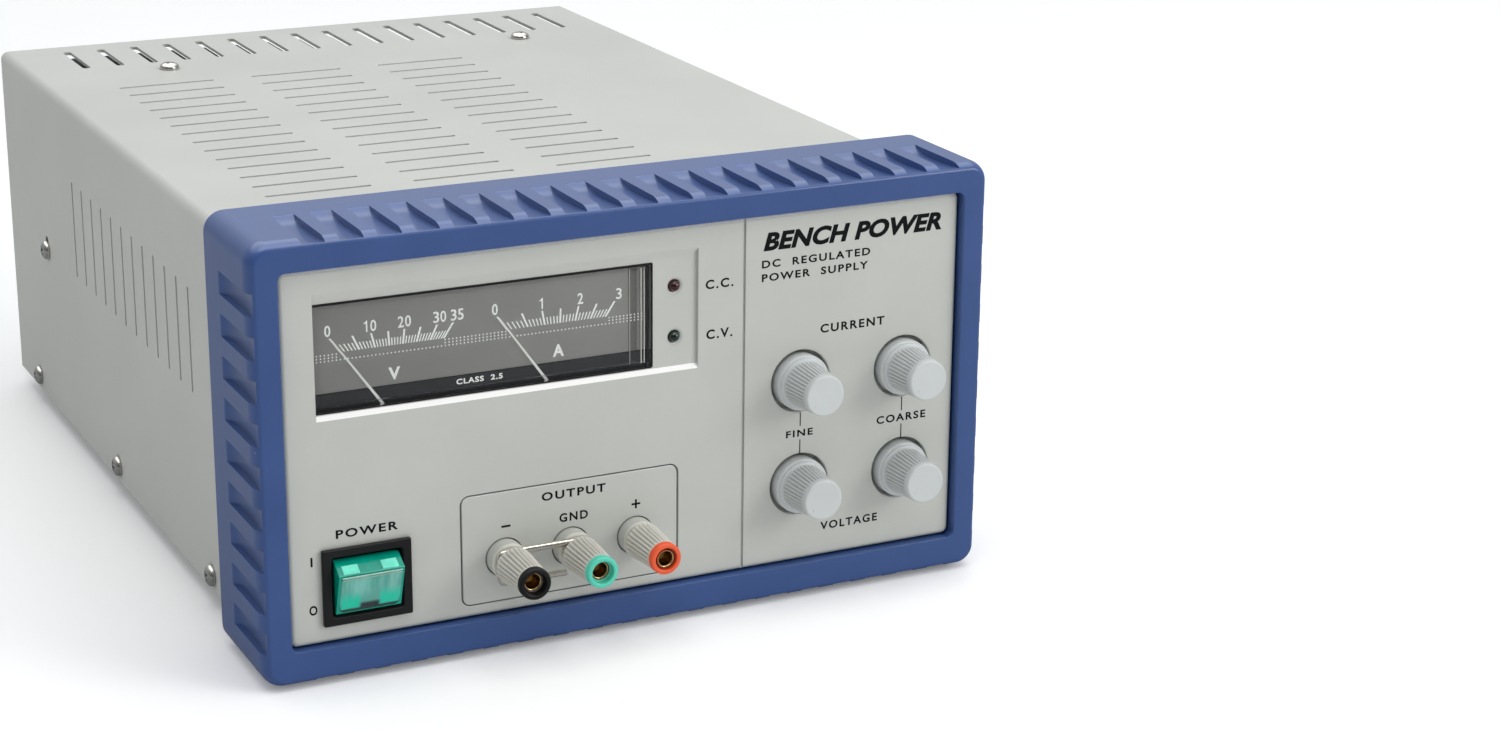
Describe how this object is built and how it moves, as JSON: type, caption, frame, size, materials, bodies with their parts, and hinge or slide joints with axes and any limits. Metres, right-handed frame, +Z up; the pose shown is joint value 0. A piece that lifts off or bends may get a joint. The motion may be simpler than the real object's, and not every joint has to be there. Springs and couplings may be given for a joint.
{
  "type": "bench power supply",
  "caption": "Bench power supply with a louvred steel case, twin pointer meters, control knobs, a rocker switch and binding posts.",
  "frame": {"origin": "bottom centre of the whole object", "axes": "front panel faces -Y, +X is to the right as seen from the front, +Z is up"},
  "size_m": [0.212, 0.3038, 0.12],
  "materials": {
    "case_paint": "satin warm grey paint",
    "zinc_steel": "zinc plate",
    "black_anodised": "black anodised extrusion",
    "blue_plastic": "satin moulded",
    "panel_plastic": "satin moulded, printed",
    "black_plastic": "satin moulded",
    "scale_grey": "matt printed",
    "clear_plastic": "clear moulded",
    "needle_white": "white paint",
    "led_red": "tinted lens",
    "led_green": "tinted lens",
    "knob_white": "satin moulded",
    "rocker_green": "translucent moulded",
    "cap_grey": "moulded grips",
    "collar_cream": "moulded",
    "brass": "turned",
    "nickel": "nickel plate",
    "circuit_board": "solder mask",
    "core_steel": "varnished laminations",
    "winding_tape": "wound tape",
    "capacitor_sleeve": "shrunk sleeve",
    "rubber": "moulded",
    "red_plastic": "moulded"
  },
  "bodies": {
    "chassis": {"top_cover": "case_paint", "rear_panel": "case_paint", "chassis_tray": "zinc_steel", "pot_current_fine": "zinc_steel", "pot_current_coarse": "zinc_steel", "pot_voltage_fine": "zinc_steel", "pot_voltage_coarse": "zinc_steel", "heatsink": "black_anodised", "front_bezel": "blue_plastic", "front_panel": "panel_plastic", "meter_housing": "black_plastic", "switch_housing": "black_plastic", "mains_inlet": "black_plastic", "rectifier": "black_plastic", "mains_wires": "black_plastic", "meter_scale": "scale_grey", "selector_housing": "scale_grey", "meter_window": "clear_plastic", "led_cc": "led_red", "led_cv": "led_green", "collar_negative": "collar_cream", "collar_ground": "collar_cream", "collar_positive": "collar_cream", "stud_negative": "brass", "stud_ground": "brass", "stud_positive": "brass", "power_transistor": "nickel", "side_screw_1": "nickel", "side_screw_2": "nickel", "side_screw_3": "nickel", "side_screw_4": "nickel", "top_screw_1": "nickel", "top_screw_2": "nickel", "front_board": "circuit_board", "main_board": "circuit_board", "transformer_core": "core_steel", "transformer_coil": "winding_tape", "capacitor_left": "capacitor_sleeve", "capacitor_right": "capacitor_sleeve", "foot_1": "rubber", "foot_2": "rubber", "foot_3": "rubber", "foot_4": "rubber", "output_wires": "red_plastic"},
    "needle_volts": {"needle_volts": "needle_white"},
    "needle_amps": {"needle_amps": "needle_white"},
    "knob_current_fine": {"knob_current_fine": "knob_white"},
    "knob_current_coarse": {"knob_current_coarse": "knob_white"},
    "knob_voltage_fine": {"knob_voltage_fine": "knob_white"},
    "knob_voltage_coarse": {"knob_voltage_coarse": "knob_white"},
    "rocker": {"rocker": "rocker_green"},
    "clamp_washer_negative": {"clamp_washer_negative": "nickel"},
    "cap_negative": {"cap_negative": "cap_grey"},
    "clamp_washer_ground": {"clamp_washer_ground": "nickel"},
    "cap_ground": {"cap_ground": "cap_grey"},
    "clamp_washer_positive": {"clamp_washer_positive": "nickel"},
    "cap_positive": {"cap_positive": "cap_grey"},
    "shorting_link": {"shorting_link": "nickel"},
    "fuse_drawer": {"fuse_drawer": "black_plastic"},
    "selector_slider": {"selector_slider": "red_plastic"}
  },
  "joints": [
    {"name": "needle_volts_swing", "type": "hinge", "parent": "chassis", "child": "needle_volts", "pos_m": [-0.0664, -0.12745, 0.0677], "axis": [0, 1, 0], "range_deg": [0, 69.5]},
    {"name": "needle_amps_swing", "type": "hinge", "parent": "chassis", "child": "needle_amps", "pos_m": [-0.0209, -0.12745, 0.0677], "axis": [0, 1, 0], "range_deg": [0, 69.5]},
    {"name": "knob_current_fine_turn", "type": "hinge", "parent": "chassis", "child": "knob_current_fine", "pos_m": [0.0494, -0.12585, 0.0632], "axis": [0, 1, 0], "range_deg": [0, 300]},
    {"name": "knob_current_coarse_turn", "type": "hinge", "parent": "chassis", "child": "knob_current_coarse", "pos_m": [0.0814, -0.12585, 0.0632], "axis": [0, 1, 0], "range_deg": [0, 300]},
    {"name": "knob_voltage_fine_turn", "type": "hinge", "parent": "chassis", "child": "knob_voltage_fine", "pos_m": [0.0494, -0.12585, 0.0332], "axis": [0, 1, 0], "range_deg": [0, 300]},
    {"name": "knob_voltage_coarse_turn", "type": "hinge", "parent": "chassis", "child": "knob_voltage_coarse", "pos_m": [0.0814, -0.12585, 0.0332], "axis": [0, 1, 0], "range_deg": [0, 300]},
    {"name": "rocker_rock", "type": "hinge", "parent": "chassis", "child": "rocker", "pos_m": [-0.07705, -0.12835, 0.0262], "axis": [-1, 0, 0], "range_deg": [0, 36]},
    {"name": "washer_negative_slide", "type": "slide", "parent": "chassis", "child": "clamp_washer_negative", "axis": [0, -1, 0], "range_m": [0, 0.004]},
    {"name": "cap_negative_turn", "type": "hinge", "parent": "clamp_washer_negative", "child": "cap_negative", "pos_m": [-0.0385, -0.13695, 0.0264], "axis": [0, -1, 0], "range_deg": [0, 1800]},
    {"name": "washer_ground_slide", "type": "slide", "parent": "chassis", "child": "clamp_washer_ground", "axis": [0, -1, 0], "range_m": [0, 0.004]},
    {"name": "cap_ground_turn", "type": "hinge", "parent": "clamp_washer_ground", "child": "cap_ground", "pos_m": [-0.0195, -0.13695, 0.0264], "axis": [0, -1, 0], "range_deg": [0, 1800]},
    {"name": "washer_positive_slide", "type": "slide", "parent": "chassis", "child": "clamp_washer_positive", "axis": [0, -1, 0], "range_m": [0, 0.004]},
    {"name": "cap_positive_turn", "type": "hinge", "parent": "clamp_washer_positive", "child": "cap_positive", "pos_m": [-0.0005, -0.13535, 0.0264], "axis": [0, -1, 0], "range_deg": [0, 1800]},
    {"name": "shorting_link_swing", "type": "hinge", "parent": "chassis", "child": "shorting_link", "pos_m": [-0.0385, -0.13665, 0.0264], "axis": [0, -1, 0], "range_deg": [0, 70]},
    {"name": "fuse_drawer_slide", "type": "slide", "parent": "chassis", "child": "fuse_drawer", "axis": [0, 1, 0], "range_m": [0, 0.018]},
    {"name": "selector_slide", "type": "slide", "parent": "chassis", "child": "selector_slider", "axis": [1, 0, 0], "range_m": [0, 0.006]}
  ],
  "couplings": [
    {"joint": "cap_negative_turn", "follows": "washer_negative_slide", "rad_per_m": 7853.9},
    {"joint": "cap_ground_turn", "follows": "washer_ground_slide", "rad_per_m": 7853.9},
    {"joint": "cap_positive_turn", "follows": "washer_positive_slide", "rad_per_m": 7853.9}
  ]
}
